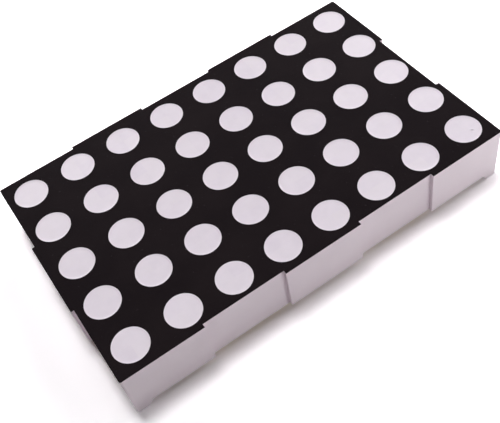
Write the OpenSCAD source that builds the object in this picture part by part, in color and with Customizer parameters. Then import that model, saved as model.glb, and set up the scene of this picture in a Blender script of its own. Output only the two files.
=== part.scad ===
// LED dot matrix: eight columns by five rows of flush round dots in a white
// reflector housing that tiles edge to edge with its neighbours.
// Origin: centre of the dot grid, on the plane of the four feet.
// +X runs along the columns, +Y towards the side with the two tongues, +Z out of the face.

/* [Dot grid] */
// Distance between neighbouring dots, both ways
dot_pitch = 7.62; // [7.2:0.01:8.5]
// Dots along the long side
dot_columns = 8; // [6:1:8]
// Dots along the short side
dot_rows = 5; // [4:1:5]
// Diameter of a dot at the face
dot_d = 5; // [4:0.1:5.4]

/* [Reflector cups] */
// Diameter of a cup where it meets the circuit board
cup_floor_d = 2.6; // [2.5:0.1:3.2]
// Depth of a cup, from the front of the moulding to the board
cup_depth = 4.6; // [3.5:0.1:6]
// Wall of a cup
cup_wall = 0.7; // [0.5:0.05:0.9]
// Front skin of the moulding between the cups
skin_t = 1.2; // [0.8:0.1:2]
// Ribs that keep the light of one cup out of the next
rib_t = 0.8; // [0.5:0.1:1.2]

/* [Housing] */
// Gap that is left between two modules end to end
end_gap = 0.5; // [0.45:0.01:0.6]
// Gap that is left between two modules side by side
side_gap = 0.3; // [0.2:0.01:0.5]
// Outer wall round the board pocket
wall_t = 1.3; // [1:0.05:1.8]
// Width of the ledge that the edge of the board lies on
ledge_w = 0.8; // [0.4:0.05:1.2]
// Height of the rim that stands past the back seal
rim_h = 0.52; // [0.2:0.01:1]
// Radius of the upright outer corners
corner_r = 0.3; // [0.1:0.05:0.8]
// Radius of the corners of the board pocket
pocket_r = 0.5; // [0.2:0.05:1]

/* [Tongues and grooves] */
// Height of a tongue
tongue_h = 0.45; // [0.3:0.01:0.6]
// Clearance round a tongue in the groove of the next module
tongue_fit = 0.1; // [0.05:0.01:0.2]
// Width of each of the two tongues on the long side
long_tongue_w = 12; // [8:0.1:15]
// Distance between the centres of the tongues on the long side
long_tongue_spacing = 24.1; // [20:0.1:26]
// Width of the tongue on the short side
short_tongue_w = 12.5; // [8:0.1:15]

/* [Feet] */
// Height of the feet under the wall
foot_h = 1; // [0.5:0.1:2]
// Width of a foot at the wall
foot_w = 2.5; // [2:0.05:4]
// Width of a foot at the ground
foot_tip_w = 1.75; // [1:0.05:1.9]

/* [Face print] */
// Thickness of the black print on the face
print_t = 0.08; // [0.05:0.01:0.2]

/* [Circuit board] */
// Thickness of the board
board_t = 1.6; // [0.8:0.1:2]
// Clearance round the board in its pocket
board_clear = 0.15; // [0.05:0.05:0.3]
// Thickness of the copper
copper_t = 0.035; // [0.035:0.005:0.07]
// Width of the copper tracks
track_w = 0.6; // [0.3:0.05:1]
// Diameter of the copper pad round a pin
pin_pad_d = 1.8; // [1.6:0.05:2.1]
// Diameter of the copper pad round a via
via_pad_d = 0.9; // [0.7:0.05:1.2]
// Distance from a pin to its own via
pin_via_reach = 2; // [1.6:0.05:2.4]
// Diameter of the plated hole for a pin
pin_hole_d = 0.9; // [0.85:0.05:1.2]

/* [LED chips] */
// Side of the square chip
die_w = 0.3; // [0.2:0.01:0.4]
// Height of the chip
die_h = 0.2; // [0.1:0.01:0.3]
// Length and width of the pad under a chip
die_pad_w = 0.7; // [0.5:0.05:0.8]
// Length and width of the pad that the bond wire ends on
bond_pad_w = 0.5; // [0.3:0.05:0.6]
// Distance from the chip to the far end of its bond wire
wire_span = 0.85; // [0.8:0.01:0.95]
// Height of the loop of the bond wire above a straight line
wire_rise = 0.25; // [0.15:0.01:0.5]
// Thickness of the bond wire
wire_t = 0.03; // [0.02:0.005:0.05]
// Width of the flattened ends of the bond wire
wire_foot_w = 0.1; // [0.08:0.01:0.15]

/* [Pins] */
// Pins in each of the two rows
pins_per_row = 7; // [5:1:7]
// Distance between neighbouring pins
pin_pitch = 2.54; // [2.3:0.01:2.6]
// Diameter of a pin
pin_d = 0.5; // [0.4:0.05:0.6]
// Length of a pin below the feet
pin_reach = 3.5; // [2:0.1:6]
// Chamfer at the tip of a pin
pin_tip = 0.12; // [0.05:0.01:0.18]
// Diameter of the solder cone on the board
solder_d = 1.5; // [1.3:0.05:1.6]

/* [Back seal] */
// Thickness of the resin poured over the back of the board
seal_t = 1.1; // [0.6:0.05:2]

/* [Hidden] */
$fn = 64;
// Overrun of a cut past the surface that it opens
cut = 1;
wire_steps = 6;

body_l = dot_columns * dot_pitch - end_gap;
body_w = dot_rows * dot_pitch - side_gap;
pocket_l = body_l - 2 * wall_t;
pocket_w = body_w - 2 * wall_t;
groove_h = tongue_h + tongue_fit;
groove_extra_w = 2 * tongue_fit;

// Levels, from the ground up
seal_z = foot_h + rim_h;
board_z = seal_z + seal_t;
cup_z = board_z + board_t;
front_z = cup_z + cup_depth;
face_z = front_z + print_t;
skin_z = front_z - skin_t;
solder_z = board_z - copper_t;
pad_z = cup_z + copper_t;
die_z = pad_z + die_h;

// The pin rows stand under the ribs next to the outermost columns
pin_row_x = (dot_columns / 2 - 1) * dot_pitch;
pin_count = 2 * pins_per_row;

function column_x(c) = (c - (dot_columns + 1) / 2) * dot_pitch;
function row_y(r) = (r - (dot_rows + 1) / 2) * dot_pitch;
function in_left_row(i) = i <= pins_per_row;
function place_in_row(i) = in_left_row(i) ? i : pin_count + 1 - i;
function pin_x(i) = in_left_row(i) ? -pin_row_x : pin_row_x;
function pin_y(i) = (place_in_row(i) - (pins_per_row + 1) / 2) * pin_pitch;
// The vias of the pins lie by turns inside and outside the row
function pin_via_side(i) = place_in_row(i) % 2 == 0 ? 1 : -1;
function dot_name(r, c) = str("dot_r", r, "c", c);
function pin_name(i) = str("pin_", i < 10 ? "0" : "", i);

module at_each_dot() {
    for (r = [1:dot_rows]) {
        for (c = [1:dot_columns]) {
            translate([column_x(c), row_y(r), 0]) children();
        }
    }
}

module at_each_pin() {
    for (i = [1:pin_count]) {
        translate([pin_x(i), pin_y(i), 0]) children();
    }
}

// Rectangle about the origin with true arcs at its corners
module rounded_rectangle(l, w, r) {
    square([l - 2 * r, w], center = true);
    square([l, w - 2 * r], center = true);
    for (sx = [-1, 1]) {
        for (sy = [-1, 1]) {
            translate([sx * (l / 2 - r), sy * (w / 2 - r)]) circle(r);
        }
    }
}

// Outline of the module: tongues on two sides, the grooves for them on the other two
module keyed_outline() {
    difference() {
        union() {
            rounded_rectangle(body_l, body_w, corner_r);
            for (s = [-1, 1]) {
                translate([s * long_tongue_spacing / 2 - long_tongue_w / 2, 0])
                    square([long_tongue_w, body_w / 2 + tongue_h]);
            }
            translate([-body_l / 2 - tongue_h, -short_tongue_w / 2])
                square([body_l / 2 + tongue_h, short_tongue_w]);
        }
        for (s = [-1, 1]) {
            translate([s * long_tongue_spacing / 2, -body_w / 2])
                square([long_tongue_w + groove_extra_w, 2 * groove_h], center = true);
        }
        translate([body_l / 2, 0])
            square([2 * groove_h, short_tongue_w + groove_extra_w], center = true);
    }
}

// Foot in the corner at +X +Y, flush outside and slanted on its two inner faces
module foot() {
    slant = [[0, 0], [0, foot_h], [-foot_w, foot_h], [-foot_tip_w, 0]];
    intersection() {
        translate([0, -foot_w, 0])
            rotate([90, 0, 0]) mirror([0, 0, 1])
                linear_extrude(foot_w) polygon(slant);
        translate([-foot_w, 0, 0])
            rotate([90, 0, 90])
                linear_extrude(foot_w) polygon(slant);
    }
}

module feet() {
    intersection() {
        linear_extrude(foot_h) keyed_outline();
        for (sx = [0, 1]) {
            for (sy = [0, 1]) {
                mirror([sx, 0, 0]) mirror([0, sy, 0])
                    translate([body_l / 2, body_w / 2, 0]) foot();
            }
        }
    }
}

// The outer walls, the front skin and the ledge, as one open tray
module tray() {
    difference() {
        translate([0, 0, foot_h])
            linear_extrude(front_z - foot_h) keyed_outline();
        translate([0, 0, foot_h - cut])
            linear_extrude(cup_z - foot_h + cut)
                rounded_rectangle(pocket_l, pocket_w, pocket_r);
        translate([0, 0, cup_z - cut])
            linear_extrude(skin_z - cup_z + cut)
                rounded_rectangle(pocket_l - 2 * ledge_w, pocket_w - 2 * ledge_w, pocket_r);
    }
}

// Cups and the grid of ribs between them, ending level on the board
module cup_grid() {
    intersection() {
        translate([0, 0, cup_z])
            linear_extrude(cup_depth) keyed_outline();
        union() {
            at_each_dot()
                translate([0, 0, cup_z])
                    cylinder(h = cup_depth, d1 = cup_floor_d + 2 * cup_wall, d2 = dot_d + 2 * cup_wall);
            for (c = [1:dot_columns - 1]) {
                translate([column_x(c) + dot_pitch / 2, 0, (cup_z + front_z) / 2])
                    cube([rib_t, pocket_w, cup_depth], center = true);
            }
            for (r = [1:dot_rows - 1]) {
                translate([0, row_y(r) + dot_pitch / 2, (cup_z + front_z) / 2])
                    cube([pocket_l, rib_t, cup_depth], center = true);
            }
        }
    }
}

// White reflector moulding: tray, feet, cups and ribs in one piece
module housing() {
    color("#efeaf0")
        difference() {
            union() {
                tray();
                feet();
                cup_grid();
            }
            at_each_dot()
                translate([0, 0, cup_z])
                    cylinder(h = cup_depth, d1 = cup_floor_d, d2 = dot_d);
        }
}

// Black print on the face, open at the dots
module face_print() {
    color("#1e1a1f")
        translate([0, 0, front_z])
            linear_extrude(print_t)
                difference() {
                    keyed_outline();
                    at_each_dot() circle(d = dot_d);
                }
}

// Pads under the chip and under the far end of its bond wire, at one dot
module chip_pads() {
    translate([0, 0, cup_z])
        linear_extrude(copper_t) {
            square(die_pad_w, center = true);
            translate([0, -wire_span]) square(bond_pad_w, center = true);
        }
}

// Copper on the back: a bus for each column, a pad and a via for each pin
module back_copper() {
    translate([0, 0, solder_z])
        linear_extrude(copper_t) {
            for (c = [1:dot_columns]) {
                translate([column_x(c), -wire_span / 2])
                    square([track_w, row_y(dot_rows) - row_y(1) + wire_span], center = true);
            }
            at_each_dot() translate([0, -wire_span]) circle(d = via_pad_d);
            at_each_pin() circle(d = pin_pad_d);
            for (i = [1:pin_count]) {
                translate([pin_x(i) + pin_via_side(i) * pin_via_reach, pin_y(i)]) circle(d = via_pad_d);
                translate([pin_x(i) + pin_via_side(i) * pin_via_reach / 2, pin_y(i)])
                    square([pin_via_reach, track_w], center = true);
            }
        }
}

module circuit_board() {
    color("#c9b27a")
        difference() {
            union() {
                translate([0, 0, board_z])
                    linear_extrude(board_t)
                        rounded_rectangle(pocket_l - 2 * board_clear, pocket_w - 2 * board_clear, pocket_r);
                at_each_dot() chip_pads();
                back_copper();
            }
            at_each_pin()
                translate([0, 0, solder_z - cut])
                    cylinder(h = board_t + copper_t + 2 * cut, d = pin_hole_d);
        }
}

module chip() {
    translate([-die_w / 2, -die_w / 2, pad_z]) cube([die_w, die_w, die_h]);
}

// Point on the underside of the wire loop, from the chip (t = 0) to its pad (t = 1)
function wire_point(t) = [-wire_span * t, die_z - die_h * t + wire_rise * sin(180 * t)];

// Gold wire from the top of the chip to its pad, with a flattened end on each
module bond_wire() {
    under = [for (k = [0:wire_steps]) wire_point(k / wire_steps)];
    over = [for (k = [wire_steps:-1:0]) wire_point(k / wire_steps) + [0, wire_t]];
    rotate([90, 0, 90])
        linear_extrude(wire_t, center = true) polygon(concat(under, over));
    for (end = [[0, die_z], [-wire_span, pad_z]]) {
        translate([-wire_foot_w / 2, end[0] - wire_foot_w / 2, end[1]])
            cube([wire_foot_w, wire_foot_w, wire_t]);
    }
}

module led_chips() {
    color("#e0b83c") at_each_dot() chip();
}

module bond_wires() {
    color("#f2c84b") at_each_dot() bond_wire();
}

// Diffusing resin that fills a cup up to the face, cast round the chip and its wire
module dot(r, c) {
    color("#e6dfe9")
        translate([column_x(c), row_y(r), 0])
            difference() {
                union() {
                    translate([0, 0, cup_z])
                        cylinder(h = cup_depth, d1 = cup_floor_d, d2 = dot_d);
                    translate([0, 0, front_z])
                        cylinder(h = print_t, d = dot_d);
                }
                chip_pads();
                chip();
                bond_wire();
            }
}

// Solder that fills the plated hole and cones down to where the resin ends
module solder() {
    translate([0, 0, solder_z])
        cylinder(h = cup_z - solder_z, d = pin_hole_d);
    translate([0, 0, seal_z])
        cylinder(h = solder_z - seal_z, d1 = pin_d, d2 = solder_d);
}

module pin(i) {
    color("#c8c8cc")
        translate([pin_x(i), pin_y(i), 0])
            union() {
                solder();
                translate([0, 0, pin_tip - pin_reach])
                    cylinder(h = seal_z + pin_reach - pin_tip, d = pin_d);
                translate([0, 0, -pin_reach])
                    cylinder(h = pin_tip, d1 = pin_d - 2 * pin_tip, d2 = pin_d);
            }
}

// Clear resin over the back of the board
module back_seal() {
    color("#d8cfa0")
        difference() {
            translate([0, 0, seal_z])
                linear_extrude(seal_t)
                    rounded_rectangle(pocket_l, pocket_w, pocket_r);
            back_copper();
            at_each_pin() solder();
        }
}

housing();
face_print();
circuit_board();
back_seal();
led_chips();
bond_wires();
for (r = [1:dot_rows]) {
    for (c = [1:dot_columns]) {
        dot(r, c);
    }
}
for (i = [1:pin_count]) {
    pin(i);
}
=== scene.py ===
"""Looks, light and camera for the LED dot matrix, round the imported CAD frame."""
import math
import random

import bpy
from mathutils import Matrix, Vector


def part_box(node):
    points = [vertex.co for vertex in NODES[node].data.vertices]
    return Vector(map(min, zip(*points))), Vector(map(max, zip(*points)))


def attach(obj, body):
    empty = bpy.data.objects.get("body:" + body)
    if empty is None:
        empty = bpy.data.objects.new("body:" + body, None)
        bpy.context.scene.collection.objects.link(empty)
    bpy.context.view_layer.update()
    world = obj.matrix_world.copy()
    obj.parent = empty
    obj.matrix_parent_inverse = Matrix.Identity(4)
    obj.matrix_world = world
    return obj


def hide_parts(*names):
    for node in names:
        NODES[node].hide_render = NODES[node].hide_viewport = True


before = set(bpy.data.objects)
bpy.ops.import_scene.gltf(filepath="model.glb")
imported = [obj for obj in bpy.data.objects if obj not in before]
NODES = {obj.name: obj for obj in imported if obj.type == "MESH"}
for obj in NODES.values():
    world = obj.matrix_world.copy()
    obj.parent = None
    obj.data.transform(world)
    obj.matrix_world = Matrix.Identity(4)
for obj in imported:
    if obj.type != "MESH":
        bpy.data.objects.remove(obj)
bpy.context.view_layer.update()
MM = 0.001

DOTS = sorted(n for n in NODES if n.startswith("dot_"))
PINS = sorted(n for n in NODES if n.startswith("pin_"))
FACE_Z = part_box("face_print")[1].z
BOARD_BACK_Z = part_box("back_seal")[1].z
SEAL_LOW, SEAL_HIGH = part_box("back_seal")
HOUSING_LOW, HOUSING_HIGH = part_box("housing")
DOT_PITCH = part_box("dot_r1c2")[0].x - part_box("dot_r1c1")[0].x


# ---------------------------------------------------------------- material helpers
RANGE_SOCKETS = ("From Min", "From Max", "To Min", "To Max")


class Shader:
    """A Principled material and the few nodes that feed it. Lengths are in millimetres."""

    def __init__(self, name, **sockets):
        self.mat = bpy.data.materials.new(name)
        self.mat.use_nodes = True
        self.tree = self.mat.node_tree
        self.bsdf = self.tree.nodes["Principled BSDF"]
        self.coords = self.add("ShaderNodeTexCoord").outputs["Object"]
        for key, value in sockets.items():
            self.bsdf.inputs[key.replace("_", " ")].default_value = value

    def add(self, kind, **props):
        node = self.tree.nodes.new(kind)
        for key, value in props.items():
            setattr(node, key, value)
        return node

    def link(self, source, target):
        self.tree.links.new(source, target)

    def feed(self, value, socket):
        """Sets a socket to a number or a colour, or links an output to it."""
        if isinstance(value, (int, float)):
            socket.default_value = value
        elif isinstance(value, tuple):
            socket.default_value = (*value, 1.0)
        else:
            self.link(value, socket)

    def place(self, size_mm, stretch=(1, 1, 1), shift=(0, 0, 0)):
        """The place in the row frame, in units of size_mm."""
        node = self.add("ShaderNodeMapping")
        node.inputs["Scale"].default_value = [s / (size_mm * MM) for s in stretch]
        node.inputs["Location"].default_value = shift
        self.link(self.coords, node.inputs["Vector"])
        return node.outputs["Vector"]

    def height(self):
        split = self.add("ShaderNodeSeparateXYZ")
        self.link(self.coords, split.inputs[0])
        return split.outputs["Z"]

    def noise(self, size_mm, detail=3.0, roughness=0.5, stretch=(1, 1, 1)):
        """Noise whose blotches are about size_mm across, as a 0 to 1 value."""
        node = self.add("ShaderNodeTexNoise")
        node.inputs["Scale"].default_value = 1.0
        node.inputs["Detail"].default_value = detail
        node.inputs["Roughness"].default_value = roughness
        self.link(self.place(size_mm, stretch), node.inputs["Vector"])
        return node.outputs["Fac"]

    def spread(self, value, low, high, to_low=0.0, to_high=1.0):
        """Maps low..high of a value to to_low..to_high, and holds it there."""
        node = self.add("ShaderNodeMapRange")
        for key, number in zip(RANGE_SOCKETS, (low, high, to_low, to_high)):
            node.inputs[key].default_value = number
        self.link(value, node.inputs["Value"])
        return node.outputs["Result"]

    def maths(self, operation, a, b):
        node = self.add("ShaderNodeMath", operation=operation)
        self.feed(a, node.inputs[0])
        self.feed(b, node.inputs[1])
        return node.outputs["Value"]

    def mix(self, factor, a, b):
        """Colour a where the factor is 0, and b where it is 1."""
        node = self.add("ShaderNodeMix", data_type="RGBA")
        self.feed(factor, node.inputs[0])
        self.feed(a, node.inputs[6])
        self.feed(b, node.inputs[7])
        return node.outputs[2]

    def bump(self, height, depth_mm, strength=1.0, after=None):
        node = self.add("ShaderNodeBump")
        node.inputs["Distance"].default_value = depth_mm * MM
        node.inputs["Strength"].default_value = strength
        self.link(height, node.inputs["Height"])
        if after is not None:
            self.link(after, node.inputs["Normal"])
        return node.outputs["Normal"]

    def wire(self, **outputs):
        """Links outputs to the shader's sockets by name, and returns the material."""
        for key, output in outputs.items():
            self.link(output, self.bsdf.inputs[key.replace("_", " ")])
        return self.mat


# ---------------------------------------------------------------- materials
def housing_material():
    """White moulding, satin, with the fine spark texture of the mould and faint flow clouds."""
    s = Shader("moulded_white", Specular_IOR_Level=0.4)
    cloud = s.spread(s.noise(9.0, detail=3.0), 0.35, 0.65)
    grain = s.noise(0.10, detail=2.0)
    flow = s.noise(1.4, detail=2.0, stretch=(0.35, 0.35, 1.0))
    colour = s.mix(cloud, (0.845, 0.735, 0.80), (0.885, 0.775, 0.84))
    fine = s.bump(grain, 0.006, strength=0.55)
    return s.wire(
        Base_Color=colour,
        Roughness=s.spread(grain, 0.3, 0.7, 0.38, 0.52),
        Normal=s.bump(flow, 0.010, strength=0.35, after=fine),
    )


def print_material():
    """Black screen print: matt, with the faint weave of the screen and small thin spots."""
    s = Shader("black_print", Specular_IOR_Level=0.03)
    cloud = s.spread(s.noise(7.0, detail=3.0), 0.35, 0.65)
    grain = s.noise(0.16, detail=2.0)
    thin = s.spread(s.noise(0.45, detail=1.0), 0.70, 0.80)
    ink = s.mix(cloud, (0.0062, 0.0036, 0.0048), (0.0092, 0.0058, 0.0070))
    return s.wire(
        Base_Color=s.mix(thin, ink, (0.016, 0.012, 0.014)),
        Roughness=s.spread(grain, 0.3, 0.7, 0.50, 0.68),
        Normal=s.bump(grain, 0.004, strength=0.5),
    )


def dot_material():
    """Milky diffusing resin. Each dot is its own pour, so its tint differs a little from the next."""
    s = Shader("milky_resin", Specular_IOR_Level=0.45)
    pour = s.add("ShaderNodeTexVoronoi")
    pour.inputs["Scale"].default_value = 1.0
    pour.inputs["Randomness"].default_value = 0.0
    s.link(s.place(DOT_PITCH / MM, stretch=(1, 1, 0), shift=(0, 0.5, 0)), pour.inputs["Vector"])
    pick = s.add("ShaderNodeSeparateColor")
    s.link(pour.outputs["Color"], pick.inputs[0])
    tint = s.mix(pick.outputs[0], (0.695, 0.620, 0.705), (0.725, 0.655, 0.715))
    cloud = s.spread(s.noise(1.6, detail=3.0), 0.32, 0.68)
    milk = s.mix(s.maths("MULTIPLY", pick.outputs[1], 0.5), tint, (0.735, 0.665, 0.735))
    colour = s.mix(s.maths("MULTIPLY", cloud, 0.55), milk, (0.765, 0.690, 0.765))
    ripple = s.noise(0.9, detail=2.0)
    return s.wire(
        Base_Color=colour,
        Roughness=s.spread(s.noise(0.5), 0.3, 0.7, 0.30, 0.46),
        Normal=s.bump(ripple, 0.012, strength=0.4),
    )


def seal_material():
    """Clear casting resin, slightly yellow."""
    s = Shader("casting_resin", IOR=1.5, Transmission_Weight=1.0)
    cloud = s.spread(s.noise(5.0, detail=3.0), 0.35, 0.65)
    ripple = s.noise(2.2, detail=2.0)
    return s.wire(
        Base_Color=s.mix(cloud, (0.93, 0.88, 0.70), (0.97, 0.93, 0.79)),
        Roughness=s.spread(s.noise(1.0), 0.3, 0.7, 0.03, 0.10),
        Normal=s.bump(ripple, 0.03, strength=0.35),
    )


def board_material():
    """Bare glass-epoxy laminate with its weave, and copper wherever the board stands proud of it."""
    s = Shader("board_laminate")
    weave = s.add("ShaderNodeTexChecker")
    weave.inputs["Scale"].default_value = 1.0
    s.link(s.place(0.45, stretch=(1, 1, 0)), weave.inputs["Vector"])
    cloth = s.mix(weave.outputs["Fac"], (0.59, 0.50, 0.275), (0.56, 0.47, 0.25))
    cloud = s.spread(s.noise(6.0, detail=3.0), 0.35, 0.65)
    laminate = s.mix(s.maths("MULTIPLY", cloud, 0.4), cloth, (0.66, 0.58, 0.36))
    tarnish = s.spread(s.noise(1.2, detail=4.0), 0.40, 0.70)
    copper = s.mix(tarnish, (0.78, 0.44, 0.26), (0.55, 0.29, 0.16))
    proud = s.maths("LESS_THAN", s.height(), BOARD_BACK_Z - 0.01 * MM)
    return s.wire(
        Base_Color=s.mix(proud, laminate, copper),
        Metallic=proud,
        Roughness=s.spread(s.noise(0.4), 0.3, 0.7, 0.34, 0.48),
        Normal=s.bump(weave.outputs["Fac"], 0.006, strength=0.3),
    )


def tin_material():
    """Tinned wire and solder: bright, drawn along the pin, with duller patches."""
    s = Shader("tinned_pin", Metallic=1.0)
    drawn = s.noise(0.12, detail=2.0, stretch=(1, 1, 0.08))
    dull = s.spread(s.noise(0.8, detail=3.0), 0.40, 0.65)
    return s.wire(
        Base_Color=s.mix(dull, (0.86, 0.855, 0.84), (0.74, 0.735, 0.72)),
        Roughness=s.spread(dull, 0.0, 1.0, 0.28, 0.46),
        Normal=s.bump(drawn, 0.003, strength=0.3),
    )


def chip_material():
    """Die of the LED, hidden in the milky resin: ochre, finely speckled in two shades."""
    s = Shader("led_chip", Roughness=0.35)
    speck = s.spread(s.noise(0.05, detail=2.0), 0.4, 0.6)
    return s.wire(Base_Color=s.mix(speck, (0.62, 0.38, 0.09), (0.76, 0.52, 0.16)))


def gold_material():
    s = Shader("gold_wire", Metallic=1.0)
    soft = s.noise(0.05, detail=2.0)
    return s.wire(
        Base_Color=s.mix(s.spread(soft, 0.35, 0.65), (0.92, 0.66, 0.22), (0.96, 0.74, 0.32)),
        Roughness=s.spread(soft, 0.3, 0.7, 0.18, 0.28),
    )


def dress(nodes, material):
    for name in nodes:
        mesh = NODES[name].data
        mesh.materials.clear()
        mesh.materials.append(material)


WELD_WITHIN = 0.001 * MM
SHARP_ANGLE = math.radians(35)


def soften(name, width_mm):
    """Rounds the sharp edges of a CAD node as it is drawn. Its mesh stays as packed."""
    piece = NODES[name]
    weld = piece.modifiers.new("weld", "WELD")
    weld.merge_threshold = WELD_WITHIN
    bevel = piece.modifiers.new("soft_edges", "BEVEL")
    bevel.width = width_mm * MM
    bevel.segments = 2
    bevel.limit_method = "ANGLE"
    bevel.angle_limit = SHARP_ANGLE
    bevel.use_clamp_overlap = True
    bevel.harden_normals = True


MILK = dot_material()
SEAL = seal_material()
dress(["housing"], housing_material())
soften("housing", 0.08)
dress(["face_print"], print_material())
dress(DOTS, MILK)
dress(PINS, tin_material())
dress(["circuit_board"], board_material())
dress(["back_seal"], SEAL)
dress(["led_chips"], chip_material())
dress(["bond_wires"], gold_material())


# ---------------------------------------------------------------- pieces that replace plain CAD ones
def new_piece(name, vertices, faces, material, node):
    """A smooth piece that rides on the part in place of one CAD node."""
    mesh = bpy.data.meshes.new(name)
    mesh.from_pydata(vertices, [], faces)
    mesh.materials.append(material)
    mesh.shade_smooth()
    piece = bpy.data.objects.new(name, mesh)
    bpy.context.scene.collection.objects.link(piece)
    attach(piece, "root")
    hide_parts(node)
    return piece


DOT_SEGMENTS = 96
DOT_RINGS = 20
CUP_TAPER = 1.2 * MM
BRIM_H = 0.08 * MM
RIM_W = 0.32 * MM
SINK_RANGE = (0.035, 0.065)
TILT_RANGE = (0.0, 0.010)
# The burst bubble in the last dot of the nearest row: offset from its centre, radius, depth and lip
BUBBLE_DOT = "dot_r1c8"
BUBBLE_AT = (0.72 * MM, -0.92 * MM)
BUBBLE_R = 0.20 * MM
BUBBLE_DEPTH = 0.16 * MM
BUBBLE_LIP = 0.06 * MM


def dish(r, edge, depth):
    """How far the poured surface has sunk at radius r: nothing at the edge, and all of it past the rim."""
    t = min(1.0, (edge - r) / RIM_W)
    return depth * t * t * (3 - 2 * t) * (0.86 + 0.14 * (1 - r / edge))


def bubble(x, y):
    """Height that the burst bubble adds to the surface."""
    d = math.hypot(x - BUBBLE_AT[0], y - BUBBLE_AT[1]) / BUBBLE_R
    pit = -BUBBLE_DEPTH * max(0.0, 1 - d * d)
    lip = BUBBLE_LIP * math.exp(-((d - 1.15) / 0.22) ** 2)
    return pit + lip


def pour_dot(name, rng):
    """The resin in one cup, with a surface that hangs from the rim and has sunk a little as it cured."""
    low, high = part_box(name)
    centre = (low + high) / 2
    edge = (high.x - low.x) / 2
    floor_r = edge - CUP_TAPER
    depth = rng.uniform(*SINK_RANGE) * MM
    lean = rng.uniform(0, 2 * math.pi)
    tilt = rng.uniform(*TILT_RANGE) * MM / edge
    turns = [2 * math.pi * k / DOT_SEGMENTS for k in range(DOT_SEGMENTS)]
    vertices = []

    def ring(r, z_at):
        for a in turns:
            x, y = r * math.cos(a), r * math.sin(a)
            vertices.append((centre.x + x, centre.y + y, z_at(x, y)))

    def top(x, y):
        r = math.hypot(x, y)
        z = high.z - dish(r, edge, depth)
        sunk = min(1.0, (edge - r) / RIM_W)
        z += sunk * tilt * (x * math.cos(lean) + y * math.sin(lean))
        return z + bubble(x, y) if name == BUBBLE_DOT else z

    ring(floor_r, lambda x, y: low.z)
    ring(edge, lambda x, y: high.z - BRIM_H)
    radii = [edge * math.sin(0.5 * math.pi * (1 - k / DOT_RINGS)) for k in range(DOT_RINGS)]
    for r in radii:
        ring(r, top)
    vertices.append((centre.x, centre.y, top(0.0, 0.0)))
    rings = 2 + len(radii)
    faces = [list(range(DOT_SEGMENTS))[::-1]]
    for i in range(rings - 1):
        for k in range(DOT_SEGMENTS):
            a, b = i * DOT_SEGMENTS + k, i * DOT_SEGMENTS + (k + 1) % DOT_SEGMENTS
            faces.append((a, b, b + DOT_SEGMENTS, a + DOT_SEGMENTS))
    last = (rings - 1) * DOT_SEGMENTS
    for k in range(DOT_SEGMENTS):
        faces.append((last + k, last + (k + 1) % DOT_SEGMENTS, len(vertices) - 1))
    return new_piece(name.replace("dot", "resin"), vertices, faces, MILK, name)


rng = random.Random(7)
for dot_name in DOTS:
    pour_dot(dot_name, rng)


# ---------------------------------------------------------------- the cast seal on the back
SEAL_CREEP = 0.16 * MM
SEAL_CREEP_REACH = 0.55 * MM
PIN_CREEP = 0.20 * MM
PIN_CREEP_REACH = 0.35 * MM
SEAL_WAVE = 0.02 * MM
SEAL_OVERLAP = 0.15 * MM
SEAL_INTO_BOARD = 0.2 * MM
PIN_R = 0.25 * MM
GRID_COARSE, GRID_FINE, GRID_REACH = 0.8 * MM, 0.1 * MM, 0.65 * MM


def graded(low, high, marks):
    """Grid lines from low to high, fine within reach of a mark and coarse elsewhere."""
    lines = [low]
    while lines[-1] < high:
        near = min(abs(lines[-1] - m) for m in marks)
        wide = min(GRID_COARSE, max(GRID_FINE, near - GRID_REACH))
        lines.append(lines[-1] + (GRID_FINE if near < GRID_REACH else wide))
    lines[-1] = high
    return lines


def pour_seal():
    """The resin behind the board. It creeps up walls and pins, and reaches into walls and board."""
    pins = [(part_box(n)[0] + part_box(n)[1]) / 2 for n in PINS]
    marks_x = [SEAL_LOW.x, SEAL_HIGH.x] + [p.x for p in pins]
    marks_y = [SEAL_LOW.y, SEAL_HIGH.y] + [p.y for p in pins]
    xs = graded(SEAL_LOW.x - SEAL_OVERLAP, SEAL_HIGH.x + SEAL_OVERLAP, marks_x)
    ys = graded(SEAL_LOW.y - SEAL_OVERLAP, SEAL_HIGH.y + SEAL_OVERLAP, marks_y)

    def level(x, y):
        wall = min(x - SEAL_LOW.x, SEAL_HIGH.x - x, y - SEAL_LOW.y, SEAL_HIGH.y - y)
        z = SEAL_LOW.z - SEAL_CREEP * math.exp(-3 * max(0.0, wall) / SEAL_CREEP_REACH)
        for p in pins:
            gap = math.hypot(x - p.x, y - p.y) - PIN_R
            if gap < 3 * PIN_CREEP_REACH:
                z -= PIN_CREEP * math.exp(-2.5 * max(0.0, gap) / PIN_CREEP_REACH)
        return z + SEAL_WAVE * math.sin(x * 210 + 1.3) * math.sin(y * 260 + 0.4)

    nx, ny = len(xs), len(ys)
    vertices = [(x, y, level(x, y)) for y in ys for x in xs]
    faces = []
    for j in range(ny - 1):
        for i in range(nx - 1):
            a = j * nx + i
            faces.append((a, a + nx, a + nx + 1, a + 1))
    hidden_z = SEAL_HIGH.z + SEAL_INTO_BOARD
    border = list(range(nx)) + [j * nx + nx - 1 for j in range(1, ny)]
    border += [(ny - 1) * nx + i for i in range(nx - 2, -1, -1)] + [j * nx for j in range(ny - 2, 0, -1)]
    first = len(vertices)
    vertices += [(vertices[v][0], vertices[v][1], hidden_z) for v in border]
    count = len(border)
    for k in range(count):
        faces.append((border[k], border[(k + 1) % count], first + (k + 1) % count, first + k))
    faces.append(tuple(range(first, first + count)))
    return new_piece("cast_seal", vertices, faces, SEAL, "back_seal")


pour_seal()


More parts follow.
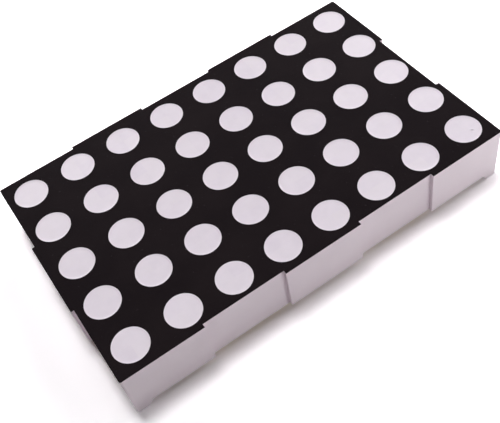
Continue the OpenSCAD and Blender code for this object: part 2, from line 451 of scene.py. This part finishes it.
# ---------------------------------------------------------------- floor, world and lamps
SHOWN_RAYS = ("Is Camera Ray", "Is Glossy Ray", "Is Transmission Ray")
FLOOR_HALF = 1.5
FLOOR_COLOUR = (0.94, 0.94, 0.94, 1.0)
FLOOR_SHOWN = (1.66, 1.62, 1.65, 1.0)
FLOOR_FADE = (0.07, 0.14)
OPENING_INSET = 4.0 * MM
FOOT_TIP = 1.65 * MM
AMBIENT_ABOVE = 0.0
AMBIENT_BELOW = 0.6


def shown_ray(tree):
    """1 for a ray that shows the background, directly or in metal and glass, and 0 for the rest."""
    path = tree.nodes.new("ShaderNodeLightPath")
    value = path.outputs[SHOWN_RAYS[0]]
    for name in SHOWN_RAYS[1:]:
        both = tree.nodes.new("ShaderNodeMath")
        both.operation = "MAXIMUM"
        tree.links.new(value, both.inputs[0])
        tree.links.new(path.outputs[name], both.inputs[1])
        value = both.outputs[0]
    return value


def map_range(tree, source, low, high, to_low, to_high):
    node = tree.nodes.new("ShaderNodeMapRange")
    for key, number in zip(RANGE_SOCKETS, (low, high, to_low, to_high)):
        node.inputs[key].default_value = number
    tree.links.new(source, node.inputs["Value"])
    return node.outputs["Result"]


def mix_shader(tree, factor, a, b):
    node = tree.nodes.new("ShaderNodeMixShader")
    tree.links.new(factor, node.inputs[0])
    tree.links.new(a, node.inputs[1])
    tree.links.new(b, node.inputs[2])
    return node.outputs[0]


def make_world():
    """White to the rays that show it. The rest see no sky, and a bright ground under the floor."""
    world = bpy.data.worlds.new("studio")
    bpy.context.scene.world = world
    world.use_nodes = True
    tree = world.node_tree
    tree.nodes.clear()
    coords = tree.nodes.new("ShaderNodeTexCoord")
    split = tree.nodes.new("ShaderNodeSeparateXYZ")
    tree.links.new(coords.outputs["Generated"], split.inputs[0])
    ambient = tree.nodes.new("ShaderNodeBackground")
    ambient.inputs["Color"].default_value = (1.0, 0.98, 0.99, 1.0)
    level = map_range(tree, split.outputs["Z"], -0.1, 0.1, AMBIENT_BELOW, AMBIENT_ABOVE)
    tree.links.new(level, ambient.inputs["Strength"])
    shown = tree.nodes.new("ShaderNodeBackground")
    shown.inputs["Color"].default_value = (1.0, 1.0, 1.0, 1.0)
    shown.inputs["Strength"].default_value = 1.0
    output = tree.nodes.new("ShaderNodeOutputWorld")
    both = mix_shader(tree, shown_ray(tree), ambient.outputs[0], shown.outputs[0])
    tree.links.new(both, output.inputs["Surface"])


def floor_material():
    """Matt white. Rays that show it see a brighter white, plain far off. From below it is clear."""
    mat = bpy.data.materials.new("floor")
    mat.use_nodes = True
    tree = mat.node_tree
    tree.nodes.clear()
    shown = shown_ray(tree)
    white = tree.nodes.new("ShaderNodeMix")
    white.data_type = "RGBA"
    white.inputs[6].default_value = FLOOR_COLOUR
    white.inputs[7].default_value = FLOOR_SHOWN
    tree.links.new(shown, white.inputs[0])
    near = tree.nodes.new("ShaderNodeBsdfDiffuse")
    tree.links.new(white.outputs[2], near.inputs["Color"])
    far = tree.nodes.new("ShaderNodeEmission")
    coords = tree.nodes.new("ShaderNodeTexCoord")
    length = tree.nodes.new("ShaderNodeVectorMath")
    length.operation = "LENGTH"
    tree.links.new(coords.outputs["Object"], length.inputs[0])
    distance = map_range(tree, length.outputs["Value"], *FLOOR_FADE, 0.0, 1.0)
    fade = tree.nodes.new("ShaderNodeMath")
    fade.operation = "MULTIPLY"
    tree.links.new(distance, fade.inputs[0])
    tree.links.new(shown, fade.inputs[1])
    top = mix_shader(tree, fade.outputs[0], near.outputs[0], far.outputs[0])
    clear = tree.nodes.new("ShaderNodeBsdfTransparent")
    geometry = tree.nodes.new("ShaderNodeNewGeometry")
    output = tree.nodes.new("ShaderNodeOutputMaterial")
    surface = mix_shader(tree, geometry.outputs["Backfacing"], top, clear.outputs[0])
    tree.links.new(surface, output.inputs["Surface"])
    return mat


def make_floor():
    """Ground at the level of the feet, open under the board, where the pins hang, and under the feet."""
    xs, ys = [], []
    for lines, low, high in ((xs, HOUSING_LOW.x, HOUSING_HIGH.x), (ys, HOUSING_LOW.y, -HOUSING_LOW.y)):
        foot = min(-low, high)
        inner = foot - OPENING_INSET
        lines += [-FLOOR_HALF, -foot, FOOT_TIP - foot, -inner, inner, foot - FOOT_TIP, foot, FLOOR_HALF]
    vertices = [(x, y, 0) for y in ys for x in xs]
    faces = []
    for j in range(7):
        for i in range(7):
            under_board = i == 3 and j == 3
            under_foot = i in (1, 5) and j in (1, 5)
            if not (under_board or under_foot):
                a = j * 8 + i
                faces.append((a, a + 1, a + 9, a + 8))
    mesh = bpy.data.meshes.new("floor")
    mesh.from_pydata(vertices, [], faces)
    mesh.materials.append(floor_material())
    floor = bpy.data.objects.new("floor", mesh)
    bpy.context.scene.collection.objects.link(floor)


def make_lamp(name, azimuth, elevation, distance, radius, level):
    """Round soft light aimed at the part. At level 1, a face turned to it is as bright as its colour."""
    light = bpy.data.lights.new(name, "AREA")
    light.shape = "DISK"
    light.size = 2 * radius
    light.energy = level * math.pi ** 2 * distance ** 2
    lamp = bpy.data.objects.new(name, light)
    across, up = math.radians(azimuth), math.radians(elevation)
    way = Vector((math.cos(up) * math.cos(across), math.cos(up) * math.sin(across), math.sin(up)))
    lamp.location = way * distance
    lamp.rotation_euler = (-way).to_track_quat("-Z", "Y").to_euler()
    bpy.context.scene.collection.objects.link(lamp)


make_world()
make_floor()
for side, azimuth, level in (("right", 0, 0.28), ("back_right", 45, 0.30), ("back", 90, 0.30)):
    make_lamp(side, azimuth, elevation=35, distance=0.6, radius=0.13, level=level)
make_lamp("top", azimuth=90, elevation=80, distance=0.6, radius=0.075, level=0.385)
make_lamp("front", azimuth=300, elevation=12, distance=0.12, radius=0.03, level=0.178)


# ---------------------------------------------------------------- camera
CAMERA_FROM_FACE = Vector((-29.48, -67.96, 84.43)) * MM
CAMERA_HEADING = math.radians(22.92)
CAMERA_DOWN = math.radians(52.31)
CAMERA_ROLL = math.radians(-13.65)
CAMERA_LENS = 57.5


def make_camera():
    data = bpy.data.cameras.new("camera")
    data.lens = CAMERA_LENS
    data.clip_start = 0.005
    data.clip_end = 10.0
    camera = bpy.data.objects.new("camera", data)
    turn = Matrix.Rotation(-CAMERA_HEADING, 4, "Z")
    tip = Matrix.Rotation(math.pi / 2 - CAMERA_DOWN, 4, "X")
    roll = Matrix.Rotation(CAMERA_ROLL, 4, "Z")
    place = Matrix.Translation(CAMERA_FROM_FACE + Vector((0, 0, FACE_Z)))
    camera.matrix_world = place @ turn @ tip @ roll
    bpy.context.scene.collection.objects.link(camera)
    bpy.context.scene.camera = camera


make_camera()
bpy.context.scene.view_settings.view_transform = "Standard"
